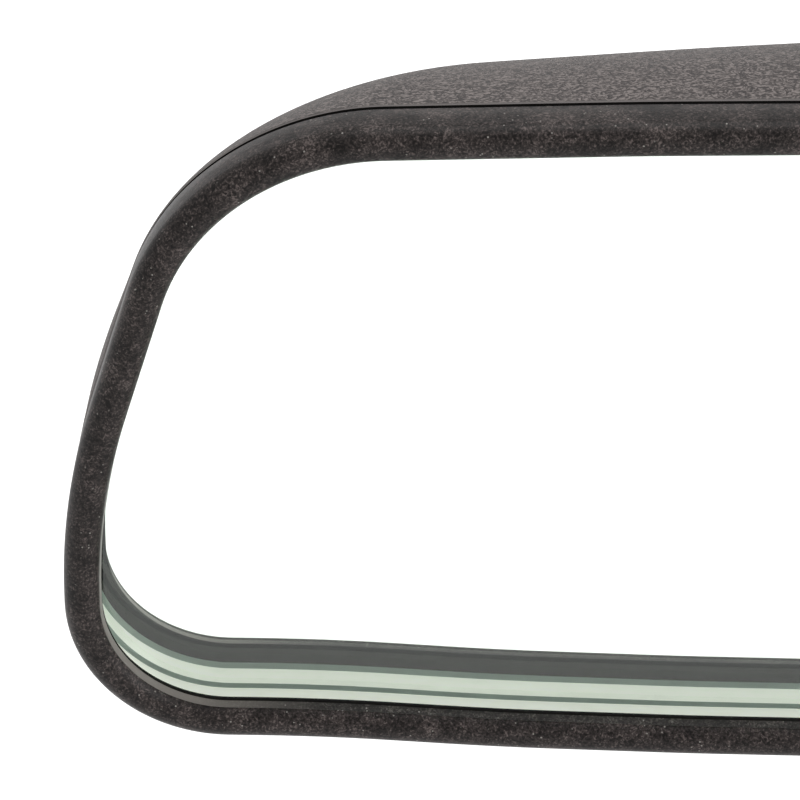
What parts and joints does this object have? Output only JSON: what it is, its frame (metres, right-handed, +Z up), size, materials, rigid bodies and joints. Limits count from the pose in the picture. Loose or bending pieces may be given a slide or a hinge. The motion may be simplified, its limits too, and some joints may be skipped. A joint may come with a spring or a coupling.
{
  "type": "interior rearview mirror",
  "caption": "Day-night interior rearview mirror: framed wedge glass in a domed housing, on a ball joint, bent arm and glued windscreen foot.",
  "frame": {"origin": "middle of the button's glued face, on the windscreen's inner surface", "axes": "+Z up, -Y towards the driver (the way the glass faces), +X to the right as seen by the driver; the windscreen leans back 35 degrees from level"},
  "size_m": [0.2022, 0.0846, 0.1153],
  "materials": {
    "bezel_plastic": "fine moulded grain, slightly rubbed on the rim",
    "housing_plastic": "coarse leather grain",
    "inner_plastic": "smooth black moulding",
    "liner_plastic": "natural low-friction plastic",
    "clear_glass": "float glass, faintly green, ground arrises and polished edge",
    "silver_coat": "silvered coating with a backing",
    "cast_bracket": "bead-blasted casting",
    "black_casting": "black textured paint",
    "button_steel": "ground sintered steel",
    "steel": "zinc-plated steel",
    "spring_steel": "bright spring steel",
    "foam": "closed-cell foam"
  },
  "bodies": {
    "mount": {"windscreen_button": "button_steel", "mount_foot": "black_casting", "foot_set_screw": "steel", "arm": "black_casting", "flange_screw_left": "steel", "flange_screw_right": "steel", "ball_stud": "steel"},
    "rear_liner": {"rear_ball_liner": "liner_plastic"},
    "front_liner": {"front_ball_liner": "liner_plastic"},
    "bracket": {"toggle_bracket": "inner_plastic", "socket_retainer": "cast_bracket", "retainer_screw_1": "steel", "retainer_screw_2": "steel", "retainer_screw_3": "steel", "ball_pressure_spring": "spring_steel"},
    "head": {"inner_frame": "inner_plastic", "frame_screw_1": "steel", "frame_screw_2": "steel", "frame_screw_3": "steel", "frame_screw_4": "steel", "pivot_pin": "steel", "pivot_pin_clip": "spring_steel", "detent_spring": "spring_steel", "front_bezel": "bezel_plastic", "rear_housing": "housing_plastic", "mirror_glass": "clear_glass", "mirror_silvering": "silver_coat", "foam_pad_1": "foam", "foam_pad_2": "foam", "foam_pad_3": "foam", "foam_pad_4": "foam"},
    "lever": {"day_night_lever": "inner_plastic", "lever_crank_pin": "steel"}
  },
  "joints": [
    {"name": "mirror_pan", "type": "hinge", "parent": "mount", "child": "rear_liner", "pos_m": [0, -0.038, -0.058], "axis": [0, 0, 1], "range_deg": [-22, 22]},
    {"name": "mirror_roll", "type": "hinge", "parent": "rear_liner", "child": "front_liner", "pos_m": [0, -0.038, -0.058], "axis": [0, 1, 0], "range_deg": [-6, 6]},
    {"name": "mirror_tilt", "type": "hinge", "parent": "front_liner", "child": "bracket", "pos_m": [0, -0.038, -0.058], "axis": [1, 0, 0], "range_deg": [-13, 13]},
    {"name": "day_night_pivot", "type": "hinge", "parent": "bracket", "child": "head", "pos_m": [0, -0.048, -0.042], "axis": [1, 0, 0], "range_deg": [0, 4]},
    {"name": "lever_flip", "type": "hinge", "parent": "head", "child": "lever", "pos_m": [0, -0.048, -0.08], "axis": [1, 0, 0], "range_deg": [-60, 0]}
  ],
  "couplings": [
    {"joint": "lever_flip", "follows": "day_night_pivot", "ratio": -15}
  ]
}
